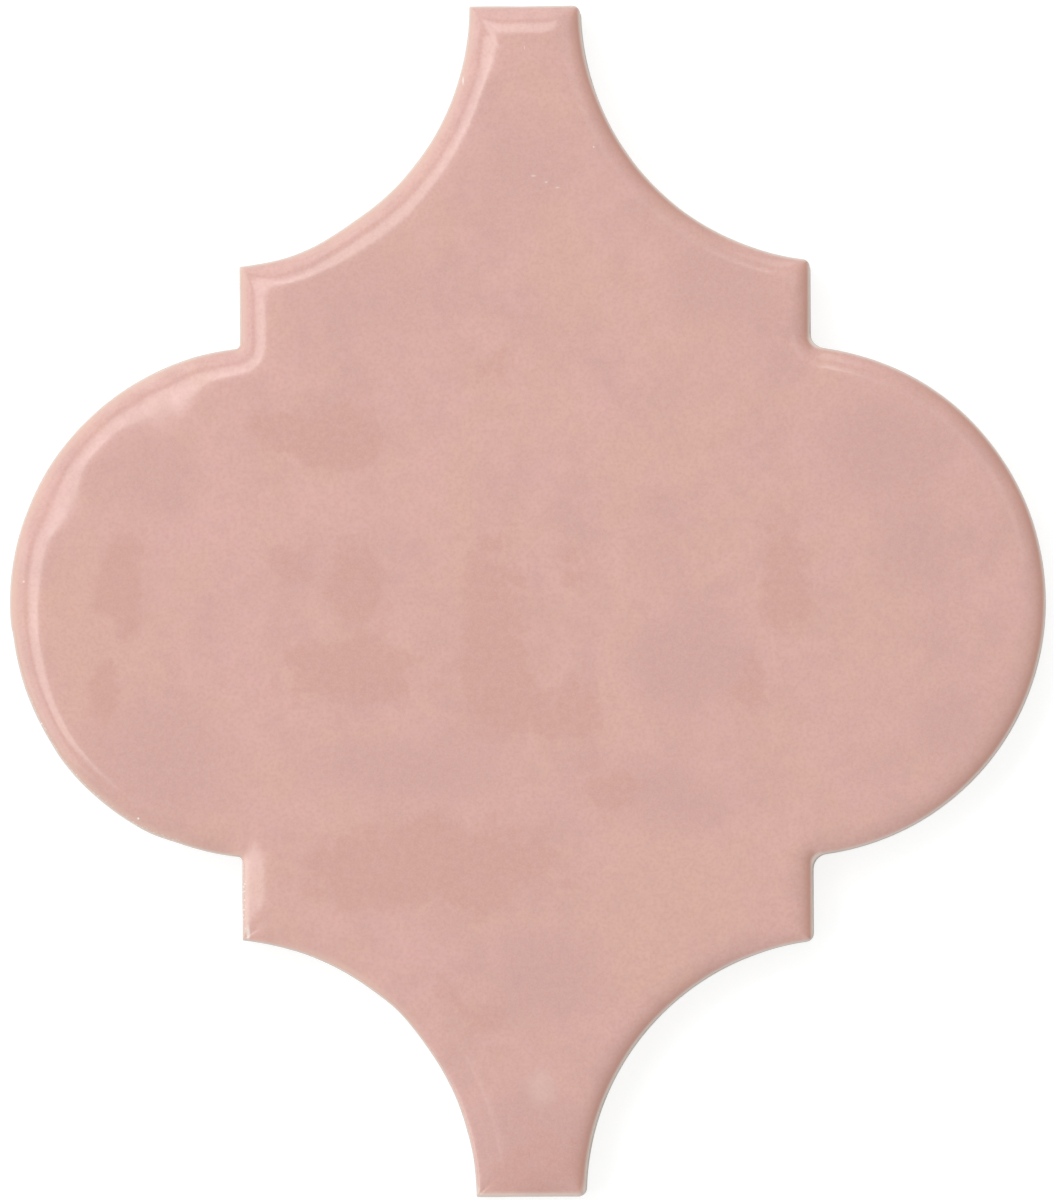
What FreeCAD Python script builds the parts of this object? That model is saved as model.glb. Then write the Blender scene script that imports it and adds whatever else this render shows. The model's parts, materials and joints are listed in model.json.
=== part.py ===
import FreeCAD, Part

import math
import os

import Sketcher

# A lantern-shaped wall tile, pressed and fired as one piece of white-bodied ceramic, glazed on its face.
# It lies on its back: +Z is the glazed side, +Y runs from neck to neck and +X from lobe to lobe.
# The origin is the middle of the back. All lengths are in millimetres.

# Driving dimensions: name, value, what it is
SIZES = [
    ("tile_height", 150.0, "from neck end to neck end"),
    ("tile_width", 130.5, "across the two round lobes"),
    ("tile_thickness", 9.0, "from the back to the face"),
    ("neck_radius", 32.2, "hollow flanks beside the necks, each takes the lobe of a neighbour"),
    ("neck_width", 14.0, "flat end of a neck"),
    ("shoulder_width", 71.9, "across the short straight walls between neck and lobe"),
    ("wall_length", 9.9, "straight wall from its outer corner down to its notch rounding"),
    ("notch_radius", 1.1, "inner corner where a straight wall meets a lobe"),
    ("rim_width", 2.7, "sloping rim of the face with its arris, seen from above"),
    ("arris_width", 0.3, "steeper outer edge of the rim, seen from above"),
    ("rollover_radius", 4.0, "soft bend where the face rolls over into its rim"),
    ("corner_radius", 0.45, "upright outer corners of the shoulders and necks"),
    ("foot_width", 0.4, "bevel round the back"),
    ("key_border", 4.5, "plain border round the keyed field of the back"),
    ("key_pitch", 10.5, "from one recess of the back to the next"),
    ("key_rib", 2.0, "rib left between two recesses"),
    ("key_depth", 0.6, "depth of a recess"),
]

# What follows from them: name, formula, what it is. A lobe reaches from the tile's side to its two notches,
# and that fixes its radius.
WORKED_OUT = [
    ("flank_step", "=neck_width / 2 + neck_radius - shoulder_width / 2",
     "from an outer corner of the shoulders out to the centre of its flank"),
    ("notch_y", "=tile_height / 2 - sqrt(neck_radius^2 - flank_step^2) - wall_length",
     "from the middle of the tile up to the centre of a notch rounding"),
    ("notch_step", "=(tile_width - shoulder_width) / 2 - notch_radius",
     "from that centre out to the side of the tile"),
    ("lobe_radius", "=(notch_y^2 + notch_step^2 - notch_radius^2) / (2 * (notch_step + notch_radius))",
     "round side lobes"),
]

doc = FreeCAD.newDocument("ArabesqueTile")
sheet = doc.addObject("Spreadsheet::Sheet", "Sizes")
for row, (alias, value, meaning) in enumerate(SIZES + WORKED_OUT, start=1):
    sheet.set(f"A{row}", alias)
    sheet.set(f"B{row}", str(value))
    sheet.setAlias(f"B{row}", alias)
    sheet.set(f"C{row}", meaning)
doc.recompute()

SAME = 1e-4  # two heights closer than this are one
MOST_DRESSED = 0.01  # no fillet or chamfer takes away more than this share of the tile


def size(alias):
    """A dimension of the sheet as a number, for the starting guess of a sketch and for picking edges."""
    return float(sheet.get(alias))


def origin_plane(body, role):
    """The origin plane or axis of a body that has this role."""
    return next(f for f in body.Origin.OriginFeatures if f.Role == role)


def new_body(name):
    return doc.addObject("PartDesign::Body", name)


def new_sketch(body, name):
    """An empty sketch on the plane of the tile's back."""
    sketch = body.newObject("Sketcher::SketchObject", name)
    sketch.AttachmentSupport = [(origin_plane(body, "XY_Plane"), "")]
    sketch.MapMode = "FlatFace"
    return sketch


START, END, CENTRE = range(1, 4)  # point numbers of a line or an arc in a sketch
ORIGIN = (-1, 1)


def drive(sketch, name, constraint, expression):
    """Adds a dimension to a sketch and ties it to the sheet."""
    index = sketch.addConstraint(constraint)
    sketch.renameConstraint(index, name)
    sketch.setExpression(f"Constraints.{name}", expression)


def drive_from_middle(sketch, name, direction, point, distance, expression):
    """Sets how far a point lies from the middle, on whichever side of it distance has put the point."""
    ends = (*ORIGIN, *point) if distance > 0 else (*point, *ORIGIN)
    drive(sketch, name, Sketcher.Constraint(f"Distance{direction}", *ends, abs(distance)), expression)


def join(sketch, kind, first, second):
    """Joins two ends, each given as (geometry, point): Coincident, or Tangent for a smooth joint."""
    sketch.addConstraint(Sketcher.Constraint(kind, *first, *second))


def shoulder_y(step_in=0.0):
    """How far up the outline the outer corner between a straight wall and a hollow flank lies."""
    flank_r = size("neck_radius") + step_in
    across = size("neck_width") / 2 + size("neck_radius") - (size("shoulder_width") / 2 - step_in)
    return size("tile_height") / 2 - (flank_r**2 - across**2) ** 0.5


def draw_outline(sketch, inset):
    """The whole outline, moved inwards by a size of the sheet, or by 0.

    Every piece of it is a circular arc or a straight line: two round lobes, two flat neck ends, and in each
    quarter a rounded notch, a straight wall and a hollow flank. The centre of a flank is level with the neck
    ends and a radius away from the neck, so the lobe of the next tile fills the flank and meets the neck
    square.
    """
    step_in = size(inset.removeprefix("Sizes.")) if inset != "0" else 0.0
    half_height = size("tile_height") / 2
    lobe_x = size("tile_width") / 2 - size("lobe_radius")
    lobe_r = size("lobe_radius") - step_in
    flank_x = size("neck_width") / 2 + size("neck_radius")
    flank_r = size("neck_radius") + step_in
    notch_r = size("notch_radius") + step_in
    wall_x = size("shoulder_width") / 2 - step_in
    end_y = half_height - step_in
    neck_x = flank_x - (flank_r**2 - step_in**2) ** 0.5
    # The notch rounding touches both the wall and the lobe, which fixes its centre and its end on the lobe
    notch_x = wall_x + notch_r
    notch_y = ((lobe_r + notch_r) ** 2 - (notch_x - lobe_x) ** 2) ** 0.5
    share = lobe_r / (lobe_r + notch_r)
    lobe_end_x = lobe_x + (notch_x - lobe_x) * share
    lobe_end_y = notch_y * share

    def arc(x, y, radius, first, last, turn=1):
        """An arc from first to last, or from last to first in a quarter that is mirrored once (turn -1)."""
        circle = Part.Circle(FreeCAD.Vector(x, y, 0), FreeCAD.Vector(0, 0, 1), radius)
        ends = [circle.parameter(FreeCAD.Vector(*point, 0)) for point in (first, last)]
        return sketch.addGeometry(Part.ArcOfCircle(circle, *(ends if turn > 0 else reversed(ends))))

    def line(first, last):
        return sketch.addGeometry(Part.LineSegment(FreeCAD.Vector(*first, 0), FreeCAD.Vector(*last, 0)))

    lobes = {}
    for side in (1, -1):
        lobes[side] = arc(side * lobe_x, 0, lobe_r, (side * lobe_end_x, -side * lobe_end_y),
                          (side * lobe_end_x, side * lobe_end_y))
    necks = {up: line((up * neck_x, up * end_y), (-up * neck_x, up * end_y)) for up in (1, -1)}
    notches, flanks = [], []
    for side, up in ((1, 1), (-1, 1), (-1, -1), (1, -1)):
        turn = side * up
        foot = (side * wall_x, up * notch_y)
        shoulder = (side * wall_x, up * shoulder_y(step_in))
        notch = arc(side * notch_x, up * notch_y, notch_r, foot, (side * lobe_end_x, up * lobe_end_y), turn)
        wall = line(foot, shoulder)
        flank = arc(side * flank_x, up * half_height, flank_r, (side * neck_x, up * end_y), shoulder, turn)
        near, far = (START, END) if turn > 0 else (END, START)
        join(sketch, "Tangent", (lobes[side], END if side == up else START), (notch, far))
        join(sketch, "Tangent", (notch, near), (wall, START))
        join(sketch, "Coincident", (wall, END), (flank, far))
        join(sketch, "Coincident", (flank, near), (necks[up], START if side == up else END))
        sketch.addConstraint(Sketcher.Constraint("Vertical", wall))
        quarter = f"{'right' if side > 0 else 'left'}_{'top' if up > 0 else 'bottom'}"
        drive_from_middle(sketch, f"wall_{quarter}", "X", (wall, START), side * wall_x,
                          f"Sizes.shoulder_width / 2 - {inset}")
        drive_from_middle(sketch, f"flank_x_{quarter}", "X", (flank, CENTRE), side * flank_x,
                          "Sizes.neck_width / 2 + Sizes.neck_radius")
        drive_from_middle(sketch, f"flank_y_{quarter}", "Y", (flank, CENTRE), up * half_height,
                          "Sizes.tile_height / 2")
        notches.append(notch)
        flanks.append(flank)

    for family in (notches, flanks, list(lobes.values())):
        for other in family[1:]:
            sketch.addConstraint(Sketcher.Constraint("Equal", family[0], other))
    drive(sketch, "lobe_round", Sketcher.Constraint("Radius", lobes[1], lobe_r), f"Sizes.lobe_radius - {inset}")
    drive(sketch, "notch_round", Sketcher.Constraint("Radius", notches[0], notch_r),
          f"Sizes.notch_radius + {inset}")
    drive(sketch, "flank_round", Sketcher.Constraint("Radius", flanks[0], flank_r),
          f"Sizes.neck_radius + {inset}")
    for side, lobe in lobes.items():
        sketch.addConstraint(Sketcher.Constraint("PointOnObject", lobe, CENTRE, -1))
        drive_from_middle(sketch, f"lobe_x_{'right' if side > 0 else 'left'}", "X", (lobe, CENTRE), side * lobe_x,
                          "Sizes.tile_width / 2 - Sizes.lobe_radius")
    for up, neck in necks.items():
        sketch.addConstraint(Sketcher.Constraint("Horizontal", neck))
        drive_from_middle(sketch, f"neck_end_{'top' if up > 0 else 'bottom'}", "Y", (neck, START), up * end_y,
                          f"Sizes.tile_height / 2 - {inset}")


def pad(body, name, sketch, height, both_ways=False):
    """A plate of this height on the plane of the back, or as much above it as below."""
    plate = body.newObject("PartDesign::Pad", name)
    plate.Profile = sketch
    plate.Midplane = both_ways
    plate.setExpression("Length", height)
    body.Tip = plate
    doc.recompute()
    return plate


def outline_plate(name, inset, height, both_ways=False):
    """A body that holds a flat plate with the tile's outline, moved inwards by inset."""
    body = new_body(name)
    sketch = new_sketch(body, f"{name}_outline")
    draw_outline(sketch, inset)
    return body, pad(body, f"{name}_plate", sketch, height, both_ways)


def boundary_edges(feature, height):
    """Names of the edges round the outside of the large flat face at this height."""
    shape = feature.Shape
    level = [face for face in shape.Faces if flat_at(face, height)]
    boundary = {edge.hashCode() for edge in max(level, key=lambda face: face.Area).OuterWire.Edges}
    return [f"Edge{number}" for number, edge in enumerate(shape.Edges, start=1) if edge.hashCode() in boundary]


def flat_at(item, height):
    return abs(item.BoundBox.ZMin - height) < SAME and abs(item.BoundBox.ZMax - height) < SAME


def corner_edges(feature):
    """Names of the upright edges at the sharp outer corners of the outline."""
    names = []
    for number, edge in enumerate(feature.Shape.Edges, start=1):
        box = edge.BoundBox
        upright = edge.Curve.TypeId == "Part::GeomLine" and box.XLength < SAME and box.YLength < SAME
        x = max(abs(box.XMin), abs(box.XMax))
        y = max(abs(box.YMin), abs(box.YMax))
        at_neck = abs(y - size("tile_height") / 2) < SAME
        at_shoulder = abs(x - size("shoulder_width") / 2) < SAME and y > shoulder_y() - SAME
        if upright and (at_neck or at_shoulder):
            names.append(f"Edge{number}")
    return names


def dress(body, kind, name, base, edges, expression):
    """A fillet or chamfer on these edges, with its size tied to the sheet."""
    feature = body.newObject(f"PartDesign::{kind}", name)
    feature.Base = (base, edges)
    feature.setExpression("Radius" if kind == "Fillet" else "Size", expression)
    body.Tip = feature
    doc.recompute()
    left = feature.Shape.Volume / base.Shape.Volume
    if not 1 - MOST_DRESSED < left <= 1:
        raise RuntimeError(f"{name} leaves {left:.4f} of the solid")
    return feature


def make_key_grid():
    """Square cells over the whole back, a rib's width apart. Two ribs cross on the middle of the tile."""
    body = new_body("key_grid")
    body.AllowCompound = True
    sketch = new_sketch(body, "key_cell")
    pitch, rib = size("key_pitch"), size("key_rib")
    cell = pitch - rib
    aside = {
        way: f"ceil(Sizes.tile_{extent} / 2 / Sizes.key_pitch)" for way, extent in (("X", "width"), ("Y", "height"))
    }
    # The pattern starts with the cell farthest to the left and to the bottom
    left = math.ceil(size("tile_width") / 2 / pitch) * pitch - rib / 2
    low = math.ceil(size("tile_height") / 2 / pitch) * pitch - rib / 2
    corners = [FreeCAD.Vector(x - left, y - low, 0) for x, y in ((0, 0), (cell, 0), (cell, cell), (0, cell))]
    sides = [
        sketch.addGeometry(Part.LineSegment(first, second))
        for first, second in zip(corners, corners[1:] + corners[:1])
    ]
    for side, after in zip(sides, sides[1:] + sides[:1]):
        join(sketch, "Coincident", (side, END), (after, START))
    for kind, side in zip(("Horizontal", "Vertical", "Horizontal", "Vertical"), sides):
        sketch.addConstraint(Sketcher.Constraint(kind, side))
    for way, side, reach in (("X", sides[0], left), ("Y", sides[1], low)):
        drive(sketch, f"cell_{way}", Sketcher.Constraint(f"Distance{way}", side, START, side, END, cell),
              "Sizes.key_pitch - Sizes.key_rib")
        drive_from_middle(sketch, f"first_{way}", way, (sides[0], START), -reach,
                          f"Sizes.key_pitch * {aside[way]} - Sizes.key_rib / 2")
    recess = pad(body, "key_recess", sketch, "2 * Sizes.key_depth", both_ways=True)
    pattern = body.newObject("PartDesign::LinearPattern", "key_pattern")
    pattern.Originals = [recess]
    for way, axis, number in (("X", "H_Axis", ""), ("Y", "V_Axis", "2")):
        setattr(pattern, f"Direction{number}", (sketch, [axis]))
        setattr(pattern, f"Mode{number}", "Spacing")
        pattern.setExpression(f"Offset{number}", "Sizes.key_pitch")
        pattern.setExpression(f"Occurrences{number}", f"2 * {aside[way]}")
    body.Tip = pattern
    doc.recompute()
    return body


def make_keyed_blank():
    """The plain tile-shaped blank, less the recesses that key its back into the adhesive.

    The cutting shapes reach below the back, so no face of theirs lies in it.
    """
    blank, _ = outline_plate("blank", "0", "Sizes.tile_thickness")
    field, _ = outline_plate("key_field", "Sizes.key_border", "4 * Sizes.key_depth", both_ways=True)
    recesses = doc.addObject("Part::Common", "key_recesses")
    recesses.Base = field
    recesses.Tool = make_key_grid()
    keyed = doc.addObject("Part::Cut", "keyed_blank")
    keyed.Base = blank
    keyed.Tool = recesses
    doc.recompute()
    return keyed


def make_tile():
    """The finished tile: the keyed blank with its rim and its edges dressed.

    The rim is made in two steps. A chamfer of 45 degrees goes all round, and a second one on its upper edge
    takes half of that angle, so the face slopes down gently and ends in a narrow, steeper arris.
    """
    face_z = size("tile_thickness")
    tile = new_body("tile")
    tile.BaseFeature = make_keyed_blank()
    doc.recompute()
    keyed = tile.Tip
    slope = "(Sizes.rim_width - Sizes.arris_width) / (1 + sqrt(1 / 2))"
    arris = dress(tile, "Chamfer", "arris", keyed, boundary_edges(keyed, face_z), f"Sizes.rim_width - {slope}")
    rim = dress(tile, "Chamfer", "rim", arris, boundary_edges(arris, face_z), slope)
    foot = dress(tile, "Chamfer", "foot", rim, boundary_edges(rim, 0.0), "Sizes.foot_width")
    rollover = dress(tile, "Fillet", "rollover", foot, boundary_edges(foot, face_z), "Sizes.rollover_radius")
    dress(tile, "Fillet", "corners", rollover, corner_edges(rollover), "Sizes.corner_radius")
    tile.Placement = FreeCAD.Placement()
    return tile


def write_parts(parts):
    """Checks every object of the document and writes each sub-part to a STEP file named after it."""
    for item in doc.Objects:
        if "Invalid" in item.State or "Error" in item.State:
            raise RuntimeError(f"{item.Label} failed: {item.State}")
    os.makedirs("parts", exist_ok=True)
    for part in parts:
        if part.Shape.isNull() or not part.Shape.isValid():
            raise RuntimeError(f"{part.Label} has no valid shape")
        part.Shape.exportStep(f"parts/{part.Label}.step")
        box = part.Shape.optimalBoundingBox(False, False)
        print(f"{part.Label}: {box.XLength:.2f} x {box.YLength:.2f} x {box.ZLength:.2f} mm, "
              f"{len(part.Shape.Solids)} solid, {part.Shape.Volume / 1000:.2f} cm3")


write_parts([make_tile()])
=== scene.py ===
# %% [markdown]
# # A lantern tile under a soft pink glaze
#
# The tile is one piece of fired clay: pressed in a steel die, dipped face down in glaze and fired once
# more. The CAD model already fixes its outline, its rim and its keyed back. This notebook makes the same
# piece again as a finer mesh, because the look of a glazed tile is in small things: glaze that rolls over
# the rim in a soft curve, pools and waves on the face, thins out on the arris and stops part of the way
# down.

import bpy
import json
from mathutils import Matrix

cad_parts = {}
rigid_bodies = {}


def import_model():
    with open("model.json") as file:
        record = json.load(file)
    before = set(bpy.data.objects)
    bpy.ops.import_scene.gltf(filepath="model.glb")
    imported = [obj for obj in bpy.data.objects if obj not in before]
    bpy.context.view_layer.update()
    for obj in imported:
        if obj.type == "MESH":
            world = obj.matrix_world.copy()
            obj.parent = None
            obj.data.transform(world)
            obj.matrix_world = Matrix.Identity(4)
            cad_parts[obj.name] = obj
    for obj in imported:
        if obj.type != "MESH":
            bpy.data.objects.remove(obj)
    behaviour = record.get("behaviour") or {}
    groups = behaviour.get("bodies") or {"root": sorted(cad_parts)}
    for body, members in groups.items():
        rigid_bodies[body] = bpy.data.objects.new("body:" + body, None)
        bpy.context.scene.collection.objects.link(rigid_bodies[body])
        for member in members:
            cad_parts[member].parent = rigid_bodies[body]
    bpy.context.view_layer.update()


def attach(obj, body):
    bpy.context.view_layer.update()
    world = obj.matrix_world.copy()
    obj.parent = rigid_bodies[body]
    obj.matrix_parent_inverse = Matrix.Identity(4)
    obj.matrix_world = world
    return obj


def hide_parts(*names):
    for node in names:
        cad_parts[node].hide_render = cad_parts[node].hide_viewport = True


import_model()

# %% Tools and units
import json
import math

import bmesh
import bpy
from mathutils import Euler, Vector, noise

MM = 0.001  # the tile is written in millimetres; floor, lamps and camera are in metres
print("one millimetre in metres:", MM)

# %% [markdown]
# ## The outline
#
# A maker draws this outline with a compass and a ruler. Two round lobes stand out at the sides. Hollow
# flanks of the same radius run up to each neck, with their centres level with the neck ends. A short
# straight wall joins lobe and flank, with a small round in the notch. A list of points would do too, but
# it would not say why the curve runs where it does. So the outline is worked out from its few sizes, for
# any distance in from the edge and for any rounding of the corners.

# %% Sizes of the tile
HEIGHT = 150.0
WIDTH = 130.5
THICK = 9.0
LOBE = 32.2  # radius of the lobes, and of the hollow flanks
NECK = 14.0  # width of a flat neck end
SHOULDERS = 71.9  # width across the straight walls
NOTCH = 1.1  # radius in the notch between a wall and a lobe

LOBE_X = WIDTH / 2 - LOBE
FLANK_X = NECK / 2 + LOBE
FLANK_Y = HEIGHT / 2
print("centre of the right lobe:", (LOBE_X, 0.0), "centre of a flank:", (FLANK_X, FLANK_Y))

# %% One quarter of the outline
LONG_ARC = 48  # steps along a lobe or a flank
NOTCH_ARC = 7
WALL_LINE = 8
CORNER_ARC = 6
END_LINE = 6


def turn_between(start, finish, centre):
    """The angle from one point to another as seen from the centre, the short way round."""
    first = math.atan2(start[1] - centre[1], start[0] - centre[0])
    last = math.atan2(finish[1] - centre[1], finish[0] - centre[0])
    return (last - first + math.pi) % (2 * math.pi) - math.pi


def between(start, finish, share):
    """The point that lies this share of the way from start to finish."""
    return tuple(a + (b - a) * share for a, b in zip(start, finish))


def corner_round(inset, sharp, growth, most):
    """Radius of an outer corner. Glaze fills corners, so it grows from the edge towards the face."""
    return min(sharp + growth * inset, most)


def quarter_outline(inset, sharp, notch):
    """The quarter of the outline from the tip of the right lobe to the middle of the top neck end.

    Returns its start and its runs: ("arc", centre, angle, steps) or ("line", finish, steps). Sharp and notch
    are the radii of the outer corners and of the notch at the very edge.
    """
    lobe = LOBE - inset
    flank = LOBE + inset
    notch = notch + inset
    wall_x = SHOULDERS / 2 - inset
    end_y = HEIGHT / 2 - inset
    start = (LOBE_X + lobe, 0.0)
    lobe_centre = (LOBE_X, 0.0)
    flank_centre = (FLANK_X, FLANK_Y)

    notch_centre = (wall_x + notch, math.sqrt((lobe + notch) ** 2 - (wall_x + notch - LOBE_X) ** 2))
    lobe_end = between(lobe_centre, notch_centre, lobe / (lobe + notch))
    wall_foot = (wall_x, notch_centre[1])

    corner = corner_round(inset, sharp, growth=0.9, most=3.6)
    shoulder_x = wall_x - corner
    shoulder_y = FLANK_Y - math.sqrt((flank + corner) ** 2 - (FLANK_X - shoulder_x) ** 2)
    shoulder = (shoulder_x, shoulder_y)
    wall_top = (wall_x, shoulder_y)
    flank_start = between(flank_centre, shoulder, flank / (flank + corner))

    corner = corner_round(inset, sharp, growth=0.5, most=1.6)
    neck_y = end_y - corner
    neck = (FLANK_X - math.sqrt((flank + corner) ** 2 - (FLANK_Y - neck_y) ** 2), neck_y)
    flank_end = between(flank_centre, neck, flank / (flank + corner))
    neck_top = (neck[0], end_y)

    return start, [
        ("arc", lobe_centre, turn_between(start, lobe_end, lobe_centre), LONG_ARC),
        ("arc", notch_centre, turn_between(lobe_end, wall_foot, notch_centre), NOTCH_ARC),
        ("line", wall_top, WALL_LINE),
        ("arc", shoulder, turn_between(wall_top, flank_start, shoulder), CORNER_ARC),
        ("arc", flank_centre, turn_between(flank_start, flank_end, flank_centre), LONG_ARC),
        ("arc", neck, turn_between(flank_end, neck_top, neck), CORNER_ARC),
        ("line", (0.0, end_y), END_LINE),
    ]


print("runs in a quarter of the outline:", len(quarter_outline(0.0, 0.4, NOTCH)[1]))

# %% [markdown]
# ## From the back to the face, ring by ring
#
# A section through the edge of the tile starts at the border of the keyed field, runs out along the back,
# rounds a small bevel and goes up the bare side wall. There it steps out over the lip where the glaze
# stops, rounds the arris, climbs the rim ever more gently and ends level with the face. Sweeping such a
# section along the outline would fold over itself at the sharp corners. So each point of the section is
# one ring: an outline at its own inset. Rings can be bridged to a skin in one go, and because every ring
# has the same number of points, the skin is all clean quads that follow the rim.

# %% How high the rim stands
RIM_REACH = 4.9  # how far in the face starts to fall
RIM_DROP = 1.3
RIM_CURVE = 2.6  # the higher, the steeper at the arris and the flatter towards the face


def rim_height(inset, reach=RIM_REACH):
    """How high the glaze stands this far in from the edge."""
    left = max(0.0, 1 - max(inset, 0.0) / reach)
    return THICK - RIM_DROP * left**RIM_CURVE


print("height of the rim at 0, 1, 2 and 4 mm:", [round(rim_height(inset), 3) for inset in (0, 1, 2, 4)])

# %% The section of the edge
BORDER = 4.5  # width of the plain border round the keyed field of the back
LIP = 0.1  # thickness of the glaze where it stops on the side wall
GLAZE_EDGE = 6.2  # height on the wall at which the glaze stops
FACE_START = 5.6  # inset of the innermost ring
RISE = 0.004  # slope that keeps the level rings of the face apart, as bridging wants each ring higher

# each ring is an inset and a height
border_ring = [(BORDER, -0.01)]  # just under the back, so that it is bridged first; it is flattened later
bevel = [(LIP + 0.4, 0.0), (LIP + 0.12, 0.14), (LIP, 0.42)]
bare_wall = [(LIP, 2.3), (LIP, 4.3), (LIP, GLAZE_EDGE - 0.12)]
glaze_lip = [(LIP * 0.9, GLAZE_EDGE), (0.02, GLAZE_EDGE + 0.1), (0.0, GLAZE_EDGE + 0.3)]
glazed_wall = [(0.0, 6.9), (0.0, 7.3)]
round_arris = [(0.03, 7.5), (0.11, 7.68)]
section = border_ring + bevel + bare_wall + glaze_lip + glazed_wall + round_arris
for inset in (0.22, 0.38, 0.6, 0.85, 1.15, 1.5, 1.9, 2.3, 2.7, 3.1, 3.6, 4.2, 4.8, FACE_START):
    section.append((inset, rim_height(inset) - RISE * (FACE_START - inset)))
print("rings:", len(section))

# %% [markdown]
# ## Drawing the rings
#
# The die for such a tile is milled along arcs and straight lines. A ring is drawn the same way: one point
# is spun round the centre of each arc and extruded along each line. A curve object would be quicker to
# draw, but here every run gets a fixed number of steps, so points of neighbouring rings stay side by
# side. The left half is drawn first and turned over. The right half gets rounder corners and notches,
# because the glaze filled them more on that side.

# %% An empty mesh to draw in
bpy.ops.object.select_all(action="DESELECT")
bpy.ops.mesh.primitive_plane_add(size=MM)
tile = bpy.context.object
tile.name = "glazed_tile"
bpy.ops.object.mode_set(mode="EDIT")
bpy.ops.mesh.delete(type="VERT")
print("drawing in:", tile.name)

# %% Draw the quarter rings of both sides
LEFT_CORNERS = {"sharp": 0.2, "notch": 0.6}
RIGHT_CORNERS = {"sharp": 1.0, "notch": 1.9}


def start_point(x, y, z):
    """One point in the mesh being edited: a tiny plane, merged to its middle."""
    bpy.ops.mesh.select_all(action="DESELECT")
    bpy.ops.mesh.primitive_plane_add(size=MM, location=(x * MM, y * MM, z * MM))
    bpy.ops.mesh.merge(type="CENTER")


def draw_quarter(inset, height, sharp, notch):
    """One quarter of a ring as a chain of edges, drawn from its last point onwards."""
    start, runs = quarter_outline(inset, sharp, notch)
    start_point(*start, height)
    for kind, (x, y), *rest in runs:
        place = (x * MM, y * MM, height * MM)
        if kind == "arc":
            angle, steps = rest
            # a positive angle of the operator turns clockwise
            bpy.ops.mesh.spin(steps=steps, angle=-angle, center=place, axis=(0, 0, 1))
        else:
            steps = rest[0]
            here = next(v.co for v in bmesh.from_edit_mesh(tile.data).verts if v.select)
            step = (Vector(place) - here) / steps
            for _ in range(steps):
                bpy.ops.mesh.extrude_region_move(TRANSFORM_OT_translate={"value": step})


for inset, height in section:
    draw_quarter(inset, height, **LEFT_CORNERS)
bpy.ops.mesh.select_all(action="SELECT")
bpy.ops.transform.resize(value=(-1, 1, 1), center_override=(0, 0, 0))
for inset, height in section:
    draw_quarter(inset, height, **RIGHT_CORNERS)
print("points in the quarter rings:", len(bmesh.from_edit_mesh(tile.data).verts))

# %% [markdown]
# ## Four quarters, one skin
#
# The two necks of a lantern tile are alike, so the lower half is the upper half turned over. A mirror
# modifier would do it, and scaling a copy by minus one does the same in one step. The doubled points on
# the two axes are merged, and the bridge operator then stretches faces from ring to ring.

# %% Turn over the upper half and bridge the rings
SAME_POINT = 0.004  # points closer than this are merged

bpy.ops.mesh.select_all(action="SELECT")
bpy.ops.mesh.duplicate()
bpy.ops.transform.resize(value=(1, -1, 1), center_override=(0, 0, 0))
bpy.ops.mesh.select_all(action="SELECT")
bpy.ops.mesh.remove_doubles(threshold=SAME_POINT * MM)
bpy.ops.mesh.bridge_edge_loops()
skin = bmesh.from_edit_mesh(tile.data)
print("skin:", len(skin.verts), "points,", len(skin.faces), "faces")

# %% [markdown]
# ## The face
#
# A glazed face is never quite flat, and its slow waves are what breaks up the reflections. So the face
# needs points to swell and dip with. The innermost ring is closed with one large face, and straight cuts
# divide it into a fine grid. Subdividing wouldn't do it, because one large face with this outline has no
# grid in it.

# %% Close the face and cut it into a grid
GRID = 1.25


def fill_opening(top):
    """Closes the upper or the lower opening of the skin with one face, and hides everything else."""
    bpy.ops.mesh.select_mode(type="EDGE")
    bpy.ops.mesh.select_all(action="DESELECT")
    bpy.ops.mesh.select_non_manifold()
    for edge in bmesh.from_edit_mesh(tile.data).edges:
        if edge.select and (edge.verts[0].co.z > THICK / 2 * MM) != top:
            edge.select_set(False)
    bpy.ops.mesh.edge_face_add()
    bpy.ops.mesh.select_mode(type="FACE")
    bpy.ops.mesh.hide(unselected=True)


def cut_lines(across, places):
    """Cuts everything that isn't hidden along straight lines, at these places along X or Y."""
    normal = (1, 0, 0) if across == "X" else (0, 1, 0)
    for place in places:
        bpy.ops.mesh.select_all(action="SELECT")
        bpy.ops.mesh.bisect(plane_co=[place * MM * part for part in normal], plane_no=normal)


fill_opening(top=True)
for across, extent in (("X", WIDTH), ("Y", HEIGHT)):
    reach = int(extent / 2 / GRID)
    cut_lines(across, [GRID * k for k in range(-reach, reach + 1)])
bpy.ops.mesh.reveal(select=False)
print("faces with the grid:", len(bmesh.from_edit_mesh(tile.data).faces))

# %% [markdown]
# ## The keyed back
#
# The back is pressed with a grid of shallow square recesses, which the adhesive fills. A plain border
# runs round them. Boxes could be subtracted one by one. Here, as in the press, it happens all at once:
# the field is cut along the sides of the ribs, and the cells between them are then pushed up into the
# tile.

# %% Close the back and cut its field
PITCH = 10.5  # from one recess to the next
RIB = 2.0  # width of the ribs between them

fill_opening(top=False)
bpy.ops.transform.resize(value=(1, 1, 0), center_override=(0, 0, 0))  # brings the border ring level
for across, extent in (("X", WIDTH), ("Y", HEIGHT)):
    ribs = math.ceil(extent / 2 / PITCH)
    cut_lines(across, [PITCH * k + side for k in range(-ribs, ribs + 1) for side in (-RIB / 2, RIB / 2)])
bpy.ops.mesh.reveal(select=False)
print("faces with the ribs:", len(bmesh.from_edit_mesh(tile.data).faces))

# %% How far a place is from the edge


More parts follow.
